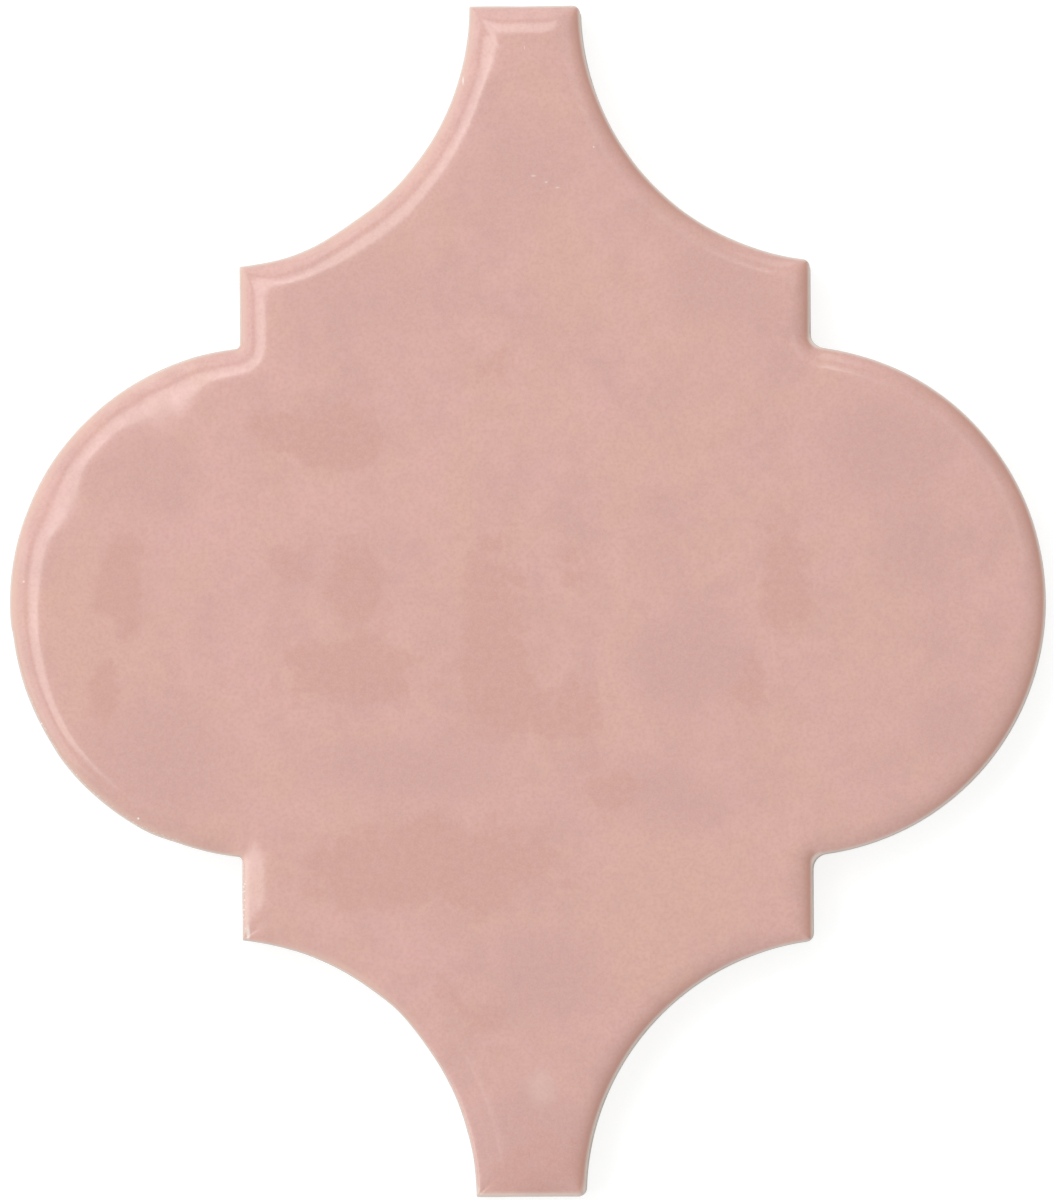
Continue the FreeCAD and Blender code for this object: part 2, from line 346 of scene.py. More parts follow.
def edge_distance(x, y):
    """How far a place inside the outline is from the edge, in millimetres."""
    x, y = abs(x), abs(y)
    lobe = LOBE - math.hypot(x - LOBE_X, y)
    flank = math.hypot(x - FLANK_X, y - FLANK_Y) - LOBE
    middle = min(SHOULDERS / 2 - x, HEIGHT / 2 - y, flank)
    notch_x = SHOULDERS / 2 + NOTCH
    notch_y = math.sqrt((LOBE + NOTCH) ** 2 - (notch_x - LOBE_X) ** 2)
    above_lobe = (x - LOBE_X) * notch_y <= (notch_x - LOBE_X) * y
    if x < notch_x and y < notch_y and above_lobe:
        return math.hypot(x - notch_x, y - notch_y) - NOTCH
    return max(lobe, middle)


print("from the middle of the tile to its edge:", round(edge_distance(0, 0), 2))

# %% Push the cells in
RECESS = 0.6  # depth
BACK = 0.001  # higher than this isn't the back any more


def pick(kind, test):
    """Selects the points or faces whose middle passes the test, and nothing else."""
    modes = {"verts": "VERT", "faces": "FACE"}
    bpy.ops.mesh.select_mode(type=modes[kind])
    bpy.ops.mesh.select_all(action="DESELECT")
    mesh = bmesh.from_edit_mesh(tile.data)
    for item in getattr(mesh, kind):
        middle = item.co if kind == "verts" else item.calc_center_median()
        if test(middle.x / MM, middle.y / MM, middle.z / MM):
            item.select_set(True)
    mesh.select_flush_mode()
    bmesh.update_edit_mesh(tile.data)


def in_cell(x, y, z):
    """Whether a place on the back is inside the field and between the ribs."""
    if z > BACK or edge_distance(x, y) < BORDER:
        return False
    return all(RIB / 2 < abs(place) % PITCH < PITCH - RIB / 2 for place in (x, y))


pick("faces", in_cell)
cells = sum(face.select for face in bmesh.from_edit_mesh(tile.data).faces)
bpy.ops.mesh.extrude_region_move(TRANSFORM_OT_translate={"value": (0, 0, RECESS * MM)})
bpy.ops.mesh.select_all(action="SELECT")
bpy.ops.mesh.normals_make_consistent(inside=False)
print("recesses:", cells, "faces in all:", len(bmesh.from_edit_mesh(tile.data).faces))

# %% [markdown]
# ## Where the glaze is
#
# The tile is bare below the lip and on its back. One shader could tell the two by height, but the lip
# wanders later on. So faces below it get a second material slot now, while the lip is still one straight
# ring and easy to pick, and keep it when the ring is bent.

# %% Two finishes on one mesh
glaze = bpy.data.materials.new("pink_glaze")
bisque = bpy.data.materials.new("bare_body")
for finish in (glaze, bisque):
    bpy.ops.object.material_slot_add()
    tile.material_slots[-1].material = finish


def is_bare(x, y, z):
    """Whether the middle of a face is below the faces of the lip."""
    return z < GLAZE_EDGE - 0.1


bpy.ops.mesh.select_all(action="SELECT")
tile.active_material_index = 0
bpy.ops.object.material_slot_assign()
pick("faces", is_bare)
tile.active_material_index = 1
bpy.ops.object.material_slot_assign()
print("bare faces:", sum(face.select for face in bmesh.from_edit_mesh(tile.data).faces))

# %% Soft shading that keeps the edges of the back
SHARPEST = 35  # degrees; steeper bends stay sharp

bpy.ops.object.mode_set(mode="OBJECT")
bpy.ops.object.shade_smooth_by_angle(angle=math.radians(SHARPEST))
print("finishes:", [slot.name for slot in tile.material_slots])

# %% [markdown]
# ## What the shader has to know about the rim
#
# Glaze draws back from a sharp arris, so the pale body shows through as a thin line, and at the lower left
# the arris is gritty. The right rim, which tilts away from the lamps, also gets painted shade: a deeper
# rose in its colour. The outer left rim, which faces them, gets painted light: a lighter pink. All of this
# follows the edge, and a shader can't tell how far the edge is. So four values are worked out for each
# point of the mesh and stored on it, where the shader can read them. They are stored before the outline
# gets its small faults, since the distance to the edge is worked out for the true outline.

# %% Store the arris, the painted shade and painted light of the rim, and the grit
EDGE_STEP = 0.05  # how far to either side the slope of the distance is felt for


def smooth(value, low, high):
    """0 below low, 1 above high, and an even curve between."""
    share = min(max((value - low) / (high - low), 0.0), 1.0)
    return share * share * (3 - 2 * share)


def above_wall(z):
    """0 on the side wall, 1 from the arris upwards."""
    return smooth(z, 6.9, 7.4)


def faces_right(x, y):
    """How much the nearest edge faces right: 1 straight right, -1 straight left."""
    slope_x = edge_distance(x - EDGE_STEP, y) - edge_distance(x + EDGE_STEP, y)
    slope_y = edge_distance(x, y - EDGE_STEP) - edge_distance(x, y + EDGE_STEP)
    return slope_x / max(math.hypot(slope_x, slope_y), 0.001)


def arris(x, y, z):
    """On the arris itself, a little wider on the lower neck end."""
    width = 0.45 + 0.4 * smooth(-y, 73, 74.5)
    return above_wall(z) * (1 - smooth(edge_distance(x, y), -0.02, width))


def painted_shade_on_right_rim(x, y, z):
    """Painted shade: the right rim, where it tilts away from the lamps, is darkened in its colour."""
    if z <= 7:
        return 0.0
    return smooth(faces_right(x, y), 0.2, 0.8) * max(0.0, 1 - edge_distance(x, y) / 4) ** 3


def painted_light_on_left_rim(x, y, z):
    """Painted light: the outer left rim, where it faces the lamps, is lightened in its colour, except at the
    lower neck.
    """
    at_edge = 1 - smooth(edge_distance(x, y), 0.4, 1.4)
    return smooth(-faces_right(x, y), 0.1, 0.5) * at_edge * smooth(y, -62, -45)


def chipped_edge(x, y, z):
    """The lower left shoulder wall and the lower left lobe, where the arris is gritty."""
    wall = 0.7 * (1 - smooth(abs(y + 37.5), 4.0, 5.0)) * smooth(-x, 33, 34)
    lobe = 0.5 * smooth(-x, 40, 45) * smooth(-y, 10, 14)
    return max(wall, lobe) * (1 - smooth(edge_distance(x, y), 0.2, 0.7)) * above_wall(z)


def store(name, worth):
    """Writes a value for each point of the mesh, worked out from its place in millimetres."""
    layer = tile.data.attributes.new(name, "FLOAT", "POINT")
    values = [worth(*(part / MM for part in vertex.co)) for vertex in tile.data.vertices]
    layer.data.foreach_set("value", values)
    print(name, "is above a half at", sum(value > 0.5 for value in values), "points")


# the second and third values are painted shade on the right rim and painted light on the left rim
for name, worth in (("arris", arris), ("painted_rim_shade", painted_shade_on_right_rim), ("painted_rim_light", painted_light_on_left_rim), ("chipped", chipped_edge)):
    store(name, worth)

# %% [markdown]
# ## Patches in the colour of the face
#
# The glaze pooled in faint patches, and where it is thicker it fires a shade deeper and redder. Elsewhere
# it fired a little cooler, warmer or paler. Noise alone would put such patches anywhere, and this tile
# has them at certain places. So each patch is a soft ellipse at its own place, with noise only to let its
# rim wander, and all the patches of a kind are stored as one value.

# %% Places of the patches
# middle x and y, half length along x and y, all in mm, and strength
POOLS = [
    (-50.9, 2.6, 3.4, 7.2, 1.0), (-52.8, -10.6, 2.6, 3.8, 0.9), (-23.2, 20.6, 6.0, 4.2, 1.0),
    (-31.4, 21.6, 4.2, 3.0, 0.8), (-30.4, 4.5, 3.4, 3.0, 0.8), (-21.3, 2.6, 3.8, 5.3, 0.8),
    (-21.9, -8.7, 9.0, 4.7, 1.0), (-4.8, -2.0, 4.5, 12.0, 0.9), (-3.9, -11.5, 5.6, 5.6, 1.0),
    (5.6, -14.4, 5.3, 3.8, 0.8), (10.3, -23.9, 4.2, 3.8, 0.8), (32.1, 2.6, 3.0, 7.6, 1.0),
    (27.4, -10.6, 2.6, 3.8, 0.9), (-12.4, -33.4, 16.0, 6.0, 1.2), (-4.9, -53.2, 2.6, 2.6, 0.8),
    (-9.6, -49.5, 2.2, 2.2, 0.8), (-3.9, 30.1, 2.6, 2.3, 0.8), (6.5, 4.0, 3.0, 2.8, 0.6),
    (12.8, 39.6, 3.0, 3.0, 0.6), (1.0, -72.0, 9.0, 5.0, 0.7),
]
COOL = [
    (45.4, 18.8, 9.0, 7.2, 1.0), (20.7, -7.8, 8.5, 6.6, 1.0), (1.8, -46.6, 7.6, 6.6, 0.9),
    (-19.0, 37.7, 11.4, 9.5, 0.5), (-15.3, -21.0, 14.0, 4.7, 0.8), (49.2, 5.5, 5.7, 5.7, 0.8),
    (-45.6, -19.1, 9.5, 7.6, 0.8), (24.5, 39.6, 7.6, 5.7, 0.8), (52.9, -15.3, 5.7, 5.7, 0.8),
    (16.9, -24.8, 8.5, 4.7, 0.7), (0.0, 54.8, 5.7, 7.6, 0.6), (-47.5, 16.9, 5.7, 5.7, 0.6),
    (-21.3, 2.6, 5.0, 5.3, 0.6), (-1.0, -68.4, 9.0, 8.0, 1.0),
]
WARM = [
    (-8.6, 9.5, 2.2, 11.0, 0.9), (4.0, 44.0, 4.0, 9.0, 0.7), (16.9, -38.0, 11.4, 9.5, 0.8),
    (-56.0, -4.0, 5.0, 15.0, 0.7), (45.0, -2.0, 6.0, 10.0, 0.6), (-33.0, -21.0, 9.0, 4.0, 0.6),
    (12.0, -4.0, 3.0, 10.0, 0.5), (18.0, 20.0, 9.0, 9.0, 0.5),
]
PALE = [
    (-38.0, 14.0, 4.5, 12.0, 0.7), (37.0, 18.0, 4.5, 10.0, 0.6), (-11.0, 16.0, 4.0, 5.0, 0.6),
    (-24.0, 12.0, 8.0, 2.6, 0.6), (-36.0, -12.0, 4.0, 12.0, 0.6), (3.0, 17.0, 3.0, 7.0, 0.5),
    (-16.0, -3.0, 2.5, 3.0, 0.7), (0.0, -26.0, 12.0, 3.0, 0.5), (24.0, -20.0, 6.0, 6.0, 0.5),
]
print("patches:", [len(patches) for patches in (POOLS, COOL, WARM, PALE)])

# %% Store the patches
FACE_LOW = 8.0  # the face and the upper rim are higher than this
MOST_PATCH = 1.2  # where patches overlap, their strengths add up to no more than this


def patch_strength(x, y, patches):
    """How strongly a place lies in any of these patches, each with a soft and slightly wandering rim."""
    wander = noise.noise_vector(Vector((x, y, 0)) / 6) * 1.6
    wander += noise.noise_vector(Vector((x, y, 9)) / 2.2) * 0.5
    total = 0.0
    for middle_x, middle_y, half_x, half_y, strength in patches:
        away = math.hypot((x + wander.x - middle_x) / half_x, (y + wander.y - middle_y) / half_y)
        total += strength * (1 - smooth(away, 0.3, 1.5))
    return min(total, MOST_PATCH)


for name, patches in (("pooled", POOLS), ("cool", COOL), ("warm", WARM), ("pale", PALE)):
    store(name, lambda x, y, z: patch_strength(x, y, patches) if z > FACE_LOW else 0.0)

# %% [markdown]
# ## A rim that isn't the same all round
#
# Glaze that drains to one side leaves the rim wider there. On this tile the fall starts far in on the
# upper left and close to the edge on the right, and along the lower left shoulder and neck it hardly
# falls at all until the arris. New rings could be drawn for it, but the bridge wants them all alike. So
# the skin stays and its points move up or down by the difference, with a displace modifier held by a
# vertex group.

# %% Where the rim is wider, narrower or slacker
RIM_LOW = 7.6  # below this there is no rim, only arris and wall


def reach_at(x, y):
    """How far in the face starts to fall: far on the upper left, near the edge on the right."""
    lobe = smooth(-x, 36, 42)
    reach = RIM_REACH + 0.6 * lobe * smooth(y, -6, 3) - 1.1 * lobe * (1 - smooth(y, -15, -4))
    reach += 0.4 * smooth(-x, 10, 16) * smooth(y, 40, 44)
    mitre = HEIGHT / 2 - y - (math.hypot(abs(x) - FLANK_X, y - FLANK_Y) - LOBE)
    reach += 1.4 * smooth(y, 64, 70) * smooth(mitre, 0.0, 1.5) * smooth(-x, -1, 1)
    return reach - 1.2 * smooth(x, 3, 9)


def slack_height(inset, y):
    """Along the lower left shoulder and neck the rim hardly falls until close to the arris."""
    slope = 0.08 + 0.045 * smooth(-y, 30.5, 33) - 0.035 * smooth(-y, 45, 58)
    fall = slope * max(0.0, 4.4 - inset) ** 2 / 3.6 if inset > 2.6 else slope * (3.5 - inset)
    fall += 0.08 * smooth(-inset, -4.3, -3.5) * smooth(-y, 50, 57)
    return THICK - fall - 0.05 * max(0.0, 1.0 - inset) ** 2


def rim_lift(x, y, z):
    """How much higher than in the section the rim is at this place."""
    if z < RIM_LOW:
        return 0.0
    inset = edge_distance(x, y)
    target = rim_height(inset, reach_at(x, y))
    share = smooth(-y, 28, 32) * smooth(-x, -2, 3) * (1 - smooth(-x, 36.5, 38))
    return (slack_height(inset, y) - target) * share + target - rim_height(inset)


print("reach on the left and on the right:", round(reach_at(-60, 10), 2), round(reach_at(60, 10), 2))

# %% Lift and lower the rim
MOST_LIFT = 0.7  # the largest difference in height, either way


def region(name, weight):
    """A vertex group whose weight is worked out from each point's place in millimetres."""
    group = tile.vertex_groups.new(name=name)
    for vertex in tile.data.vertices:
        amount = weight(*(part / MM for part in vertex.co))
        if amount > 0:
            group.add([vertex.index], amount, "REPLACE")
    return name


def shift(name, weight, direction, length):
    """Moves a region straight along an axis by this many millimetres times its weight."""
    bpy.ops.object.modifier_add(type="DISPLACE")
    push = tile.modifiers[-1]
    push.name = name
    push.vertex_group = region(name, weight)
    push.direction = direction
    push.strength = length * MM
    push.mid_level = 0
    bpy.ops.object.modifier_apply(modifier=name)
    print(name, "moved along", direction, "by up to", length)


shift("rim_up", lambda x, y, z: max(0.0, rim_lift(x, y, z)) / MOST_LIFT, "Z", MOST_LIFT)
shift("rim_down", lambda x, y, z: max(0.0, -rim_lift(x, y, z)) / MOST_LIFT, "Z", -MOST_LIFT)

# %% [markdown]
# ## Small faults of the outline
#
# Pressed clay warps as it dries, so no corner is quite where the die had it. The faults of this tile are
# a few tenths of a millimetre, each at one place. They could be drawn into the outline, but that would
# hide its plain geometry. So each one is a shift of its own, with a soft region that fades out towards
# the middle.

# %% Shoulders, lobes and necks that sit a little off
# name, from and to along x and along y, direction and length, all in mm
FAULTS = [
    ("low_right_lobe", (36, 80), (-40, 40), "Y", -0.16),
    ("low_right_flank", (12, 40), (34, 80), "Y", -0.17),
    ("full_left_lobe", (-61, -46), (-36, -15), "Y", -0.33),
    ("high_left_flank", (-45, -15), (-80, -38), "Y", 0.4),
    ("slim_lower_neck", (-20, -2), (-80, -50), "X", 0.22),
]


def near_edge(x, y):
    """1 close to the edge, fading to 0 at seven millimetres from it."""
    return smooth(-edge_distance(x, y), -7, -1)


def within(value, low, high):
    """1 between low and high, 0 outside, with soft ends."""
    return smooth(value, low - 2.5, low + 2.5) * (1 - smooth(value, high - 2.5, high + 2.5))


def low_shoulder(x, y, z):
    """The upper left shoulder was pressed a little low."""
    return smooth(-x, 20, 30) * smooth(y, 34, 42) * near_edge(x, y)


def nicked_lobe(x, y, z):
    """Below the middle of the left lobe the edge steps in."""
    step = smooth(-y, 2.6, 4.0) * (1 - smooth(-y, 7.0, 16.0))
    return step * smooth(-x, 58, 62) * smooth(-edge_distance(x, y), -2, -0.3)


def shoulders(x, y, z):
    """All four shoulders, which sit a little to the left."""
    return smooth(abs(x), 28, 34) * smooth(abs(y), 28, 33) * near_edge(x, y)


for name, (left, right), (low, high), direction, length in FAULTS:
    shift(
        name,
        lambda x, y, z: within(x, left, right) * within(y, low, high) * near_edge(x, y),
        direction,
        length,
    )
shift("low_shoulder", low_shoulder, "Y", -0.6)
shift("nicked_lobe", nicked_lobe, "X", 0.12)
shift("shoulders", shoulders, "X", -0.16)
print("height of the mesh in mm:", round(tile.dimensions.z / MM, 3))

# %% [markdown]
# ## Two shallow dents
#
# Beside the upper left rim the face dips twice, by a few tenths of a millimetre. A dent could be
# sculpted. Taking hold of a few points and pushing them down with proportional editing gives the same
# soft bowl and can be written down with four numbers.

# %% Push the dents in
DENTS = [(-46.9, 26.3, 0.5, 6.5), (-60.6, 13.5, 0.35, 6.0)]  # x, y, depth and reach
HOLD = 0.7  # points this close to the middle of a dent are taken hold of

bpy.ops.object.mode_set(mode="EDIT")
for middle_x, middle_y, depth, reach in DENTS:
    pick("verts", lambda x, y, z: z > FACE_LOW and math.hypot(x - middle_x, y - middle_y) < HOLD)
    print("points taken hold of:", sum(v.select for v in bmesh.from_edit_mesh(tile.data).verts))
    bpy.ops.transform.translate(
        value=(0, 0, -depth * MM),
        use_proportional_edit=True,
        proportional_edit_falloff="SMOOTH",
        proportional_size=reach * MM,
    )
bpy.ops.object.mode_set(mode="OBJECT")

# %% [markdown]
# ## Slow waves and a ragged lip
#
# Glaze is a thick liquid when the tile is dipped, so the face swells and dips a little, the lip on the
# side wall wanders, and the wall itself is uneven. A bump in the shader would be cheaper, but it would
# leave the outline and the lip straight. So each of the three is a displace modifier with a cloud
# texture, held to its own region by a vertex group and then applied.

# %% Waves of the face, a wandering lip, an uneven wall


def wave(name, group, direction, height, length, depth=1, middle=0.5):
    """Pushes the points of a group to and fro by a cloud texture: height and length in millimetres.

    Depth adds finer clouds. Middle is the grey of the texture that leaves a point where it is: with 0.5
    points go both ways, and with 1 they only go back.
    """
    clouds = bpy.data.textures.new(name, "CLOUDS")
    clouds.noise_scale = length * MM
    clouds.noise_depth = depth
    bpy.ops.object.modifier_add(type="DISPLACE")
    push = tile.modifiers[-1]
    push.name = name
    push.texture = clouds
    push.texture_coords = "LOCAL"
    push.vertex_group = group
    push.direction = direction
    push.strength = height * MM
    push.mid_level = middle
    bpy.ops.object.modifier_apply(modifier=name)


face_region = region("face", lambda x, y, z: smooth(z, FACE_LOW, 8.95))
wave("slow_wave", face_region, "Z", height=0.16, length=22, middle=1)
lip_region = region("lip", lambda x, y, z: smooth(z, 5.2, 6.1) * (1 - smooth(z, 6.6, 7.2)))
wave("lip_wander", lip_region, "Z", height=1.6, length=9, depth=2)
wall_region = region("wall", lambda x, y, z: smooth(z, 0.2, 2.0) * (1 - smooth(z, 7.7, 8.6)))
wave("wall_swell", wall_region, "NORMAL", height=0.14, length=7, depth=2, middle=0.8)
print("box after the waves in mm:", [round(size / MM, 2) for size in tile.dimensions])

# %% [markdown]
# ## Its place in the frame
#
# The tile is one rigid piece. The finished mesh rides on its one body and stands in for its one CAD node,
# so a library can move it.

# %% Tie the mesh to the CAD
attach(tile, "root")
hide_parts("tile")
print("dressed:", tile.name, "with", len(tile.data.vertices), "points")

# %% [markdown]
# ## The glaze, from broad clouds
#
# The glaze is a soft pink with very little contrast. A single noise would look like marble. On the real
# tile broad drifts of mauve, beige and blush cross each other at many sizes, so one cloud after another
# is laid over the pink, from the widest to the narrowest, each with its own shade and its own largest
# share.

# %% Helpers for shader nodes


def add_node(tree, kind, **settings):
    """A new node; capital names are sockets, small ones are settings of the node."""
    node = tree.nodes.new(f"ShaderNode{kind}")
    for name, value in settings.items():
        if name[0].isupper():
            node.inputs[name.replace("_", " ")].default_value = value
        else:
            setattr(node, name, value)
    return node


def link(tree, source, target):
    """A link from an output to an input."""
    tree.links.new(source, target)


def blend(tree, first, second, factor):
    """A colour mix. Each colour is a socket or a tuple, the factor is a socket."""
    mix = add_node(tree, "Mix", data_type="RGBA")
    link(tree, factor, mix.inputs["Factor"])
    sockets = [s for s in mix.inputs if s.type == "RGBA"]
    for socket, colour in zip(sockets, (first, second)):
        if isinstance(colour, tuple):
            socket.default_value = (*colour, 1)
        else:
            link(tree, colour, socket)
    return next(s for s in mix.outputs if s.type == "RGBA")


def spread(tree, value, low, high, bottom=0.0, top=1.0):
    """Stretches a value from between low and high to between bottom and top."""
    node = add_node(tree, "MapRange", interpolation_type="SMOOTHSTEP")
    node.inputs["From Min"].default_value = low
    node.inputs["From Max"].default_value = high
    node.inputs["To Min"].default_value = bottom
    node.inputs["To Max"].default_value = top
    link(tree, value, node.inputs["Value"])
    return node.outputs["Result"]


def clouds(tree, size, detail, rough, offset=0.0):
    """A noise over the object with clouds of about this size in millimetres."""
    place = add_node(tree, "TexCoord").outputs["Object"]
    moved = add_node(tree, "Mapping", Location=(offset * MM, -offset * MM, 0))
    link(tree, place, moved.inputs["Vector"])
    cloud = add_node(tree, "TexNoise", Scale=1 / (size * MM), Detail=detail, Roughness=rough)
    link(tree, moved.outputs["Vector"], cloud.inputs["Vector"])
    return cloud.outputs["Fac"]


for finish in (glaze, bisque):
    finish.use_nodes = True
print("nodes to start with:", [node.name for node in glaze.node_tree.nodes])

# %% Broad clouds over the pink
PINK = (0.644, 0.377, 0.322)
ROSE = (0.598, 0.316, 0.262)
MAUVE = (0.588, 0.346, 0.315)
BEIGE = (0.686, 0.411, 0.332)
BLUSH = (0.710, 0.414, 0.374)
# size of the clouds in mm, their colour, and its largest share
BROAD_CLOUDS = [
    (26, MAUVE, 0.8), (19, BEIGE, 0.9), (13, BLUSH, 0.9),
    (9, MAUVE, 0.85), (6, BEIGE, 0.75), (3.5, BLUSH, 0.6),
]


def clouded(tree, colour, size, shade, most):
    """The colour under clouds of another shade. The offset keeps clouds of two sizes from lining up."""
    cloud = clouds(tree, size, detail=2, rough=0.55, offset=size * 7)
    return blend(tree, colour, shade, spread(tree, cloud, 0.38, 0.68, top=most))


tree = glaze.node_tree
shader = tree.nodes["Principled BSDF"]
colour = PINK
for size, shade, most in BROAD_CLOUDS:
    colour = clouded(tree, colour, size, shade, most)
print("nodes after the broad clouds:", len(tree.nodes))

# %% [markdown]
# ## The stored patches
#
# Over the clouds lie the patches of this one tile. The pale, warm and cool ones are mixed in as they were
# stored. Pools have a more broken rim, like drops that ran together, so a noise is added to the stored
# value before it is turned into a share of rose.

# %% Patches and pools


def stored(tree, name):
    """A value that was stored on the points of the mesh."""
    return add_node(tree, "Attribute", attribute_name=name).outputs["Fac"]


for name, shade, most in (("pale", BLUSH, 0.8), ("warm", BEIGE, 0.9), ("cool", MAUVE, 0.85)):
    colour = blend(tree, colour, shade, spread(tree, stored(tree, name), 0.0, 1.0, top=most))
torn = spread(tree, clouds(tree, 2.5, detail=3, rough=0.6), 0.3, 0.7, bottom=-0.3, top=0.3)
ragged = add_node(tree, "Math", operation="ADD")
link(tree, stored(tree, "pooled"), ragged.inputs[0])
link(tree, torn, ragged.inputs[1])
colour = blend(tree, colour, ROSE, spread(tree, ragged.outputs["Value"], 0.1, 0.8, top=0.75))
print("nodes after the patches:", len(tree.nodes))

# %% [markdown]
# ## Fine grain
#
# Seen close, fired glaze is speckled by the colour grains in it, down to a quarter of a millimetre.
# Without them it would look like plastic. A bump would also roughen the shine, which is smooth on the
# real tile. So the grain is in the colour only, made like the clouds and laid over the patches.

# %% Grain
GRAIN = [(1.8, MAUVE, 0.3), (0.9, BEIGE, 0.25), (0.45, ROSE, 0.4), (0.25, BLUSH, 0.32)]

for size, shade, most in GRAIN:
    colour = clouded(tree, colour, size, shade, most)
print("nodes after the grain:", len(tree.nodes))

# %% [markdown]
# ## The rim and the arris
#
# The right rim is painted a deep rose as painted shade, where it tilts away from the lamps, and the outer
# left rim a light pink as painted light, where it faces them. On the arris the glaze turns to a narrow
# creamy line. The stored values say where. The last one goes on top and unstretched, so the line stays as
# narrow as it was stored.

# %% Painted shade and painted light of the rim, and the creamy arris
# a deep rose, painted as shade on the right rim
PAINTED_RIM_SHADE = (0.52, 0.25, 0.185)
# a light pink, painted as light on the outer left rim
PAINTED_RIM_LIGHT = (0.73, 0.49, 0.40)
CREAM = (0.80, 0.68, 0.60)

# painted shade on the right rim and painted light on the left rim, laid into the colour
for name, shade, most in (("painted_rim_shade", PAINTED_RIM_SHADE, 1.0), ("painted_rim_light", PAINTED_RIM_LIGHT, 0.55)):
    colour = blend(tree, colour, shade, spread(tree, stored(tree, name), 0.0, 1.0, top=most))
colour = blend(tree, colour, CREAM, stored(tree, "arris"))
print("nodes after the rim:", len(tree.nodes))

# %% [markdown]
# ## Pale specks, grit and painted glints
#
# A few specks and short flecks of the pale body show through the glaze, and the lower left arris is
# gritty. Where the specks and the grit sit on the arris they are chips with a painted glint: their colour
# is whiter than the bare body. Nine specks and one soft spot are too few for a random scatter, so each is a
# small ellipse at its own place. The grit is the opposite: too many dots to place, so they come from a cell
# texture that lights about half of its cells, held to the stored part of the arris.

# %% Specks, grit and painted glints
# pale body with a painted glint on it, whiter than the bare clay
CHIP_AND_GLINT = (0.92, 0.88, 0.82)
# x, y, half widths in mm and strength
# the first three and the streak at -7.75, 65.6 lie on the arris: chips with a painted glint
SPECKS = [
    (-63.4, 2.8, 0.2, 0.2, 0.5), (-61.3, -15.1, 0.15, 0.22, 1.0), (-49.1, -27.1, 0.22, 0.2, 1.0),
    (-7.75, 65.6, 0.15, 0.75, 0.6), (8.7, 57.1, 0.17, 0.17, 0.6), (1.1, 53.5, 0.5, 0.2, 0.35),
    (2.7, 52.7, 0.3, 0.2, 0.35), (4.1, 52.0, 0.4, 0.15, 0.35), (1.5, -61.3, 2.6, 3.4, 0.1),
    (-35.3, -41.6, 0.35, 1.3, 0.6),
]
GRIT = 0.33  # size of the cells in mm


def spot(tree, x, y, half_x, half_y, strength):
    """A soft ellipse around one place on the tile."""
    place = add_node(tree, "TexCoord").outputs["Object"]
    moved = add_node(tree, "Mapping", Location=(-x / half_x, -y / half_y, 0))
    moved.inputs["Scale"].default_value = (1 / (half_x * MM), 1 / (half_y * MM), 0)
    link(tree, place, moved.inputs["Vector"])
    away = add_node(tree, "VectorMath", operation="LENGTH")
    link(tree, moved.outputs["Vector"], away.inputs[0])
    return spread(tree, away.outputs["Value"], 0.2, 1.0, bottom=strength, top=0.0)


def times(tree, first, second):
    """The product of two values."""
    node = add_node(tree, "Math", operation="MULTIPLY")
    link(tree, first, node.inputs[0])
    link(tree, second, node.inputs[1])
    return node.outputs["Value"]


def grit(tree, size):
    """Dots scattered at random, in about half of the cells of this size in millimetres."""
    cells = add_node(tree, "TexVoronoi", Scale=1 / (size * MM))
    link(tree, add_node(tree, "TexCoord").outputs["Object"], cells.inputs["Vector"])
    dots = spread(tree, cells.outputs["Distance"], 0.2, 0.5, bottom=1.0, top=0.0)
    return times(tree, dots, spread(tree, cells.outputs["Color"], 0.4, 0.5))


for speck in SPECKS:
    colour = blend(tree, colour, CHIP_AND_GLINT, spot(tree, *speck))
colour = blend(tree, colour, CHIP_AND_GLINT, times(tree, grit(tree, GRIT), stored(tree, "chipped")))
print("nodes after the specks:", len(tree.nodes))

# %% [markdown]
# ## The shine
#
# A satin gloss: the lamps show as soft bright lines along the rim and not as sharp pictures. A coat layer
# over a rough base could do it too, but glaze is one glassy layer, so one roughness and an index of
# refraction a little above that of window glass are enough.

# %% Shine of the glaze
link(tree, colour, shader.inputs["Base Color"])
shader.inputs["Roughness"].default_value = 0.15
shader.inputs["IOR"].default_value = 1.6
print("nodes in the glaze:", len(tree.nodes))

# %% [markdown]
# ## The bare body
#
# White-bodied tile clay fires to a warm off-white with a dry, fine grain. A plain colour would do for
# most views, as hardly any of it is seen. Two sizes of cloud and a fine bump make it clay for someone who
# turns the tile over.

# %% Colours of the bare body
CLAY = (0.74, 0.68, 0.60)
DARK_CLAY = (0.62, 0.55, 0.47)
PORES = (0.50, 0.43, 0.36)

tree = bisque.node_tree
shader = tree.nodes["Principled BSDF"]
drift = spread(tree, clouds(tree, 5, detail=4, rough=0.6), 0.4, 0.7)
colour = blend(tree, CLAY, DARK_CLAY, drift)
dots = spread(tree, clouds(tree, 0.5, detail=2, rough=0.6), 0.6, 0.8, top=0.4)
colour = blend(tree, colour, PORES, dots)
link(tree, colour, shader.inputs["Base Color"])
shader.inputs["Roughness"].default_value = 0.85
bump = add_node(tree, "Bump", Strength=0.35, Distance=0.1 * MM)
link(tree, clouds(tree, 0.4, detail=3, rough=0.6), bump.inputs["Height"])
link(tree, bump.outputs["Normal"], shader.inputs["Normal"])
print("nodes in the bare body:", len(tree.nodes))

# %% [markdown]
# ## The floor
#
# The tile lies on a pure white floor. Plain paper is never quite white in a picture, and a floor that
# glows for every ray would light up the side wall. So what a ray meets depends on the ray: the camera
# sees a floor that glows white and still takes a soft shadow, and all other light meets plain white
# paper. The floor lies a hair under the tile, so that the two don't share a plane.

# %% A white floor
GAP = 0.02  # from the back of the tile down to the floor, in mm
PAPER = (0.8, 0.8, 0.8)
SEEN_PAPER = (0.3, 0.3, 0.3)
GLOW = 0.78

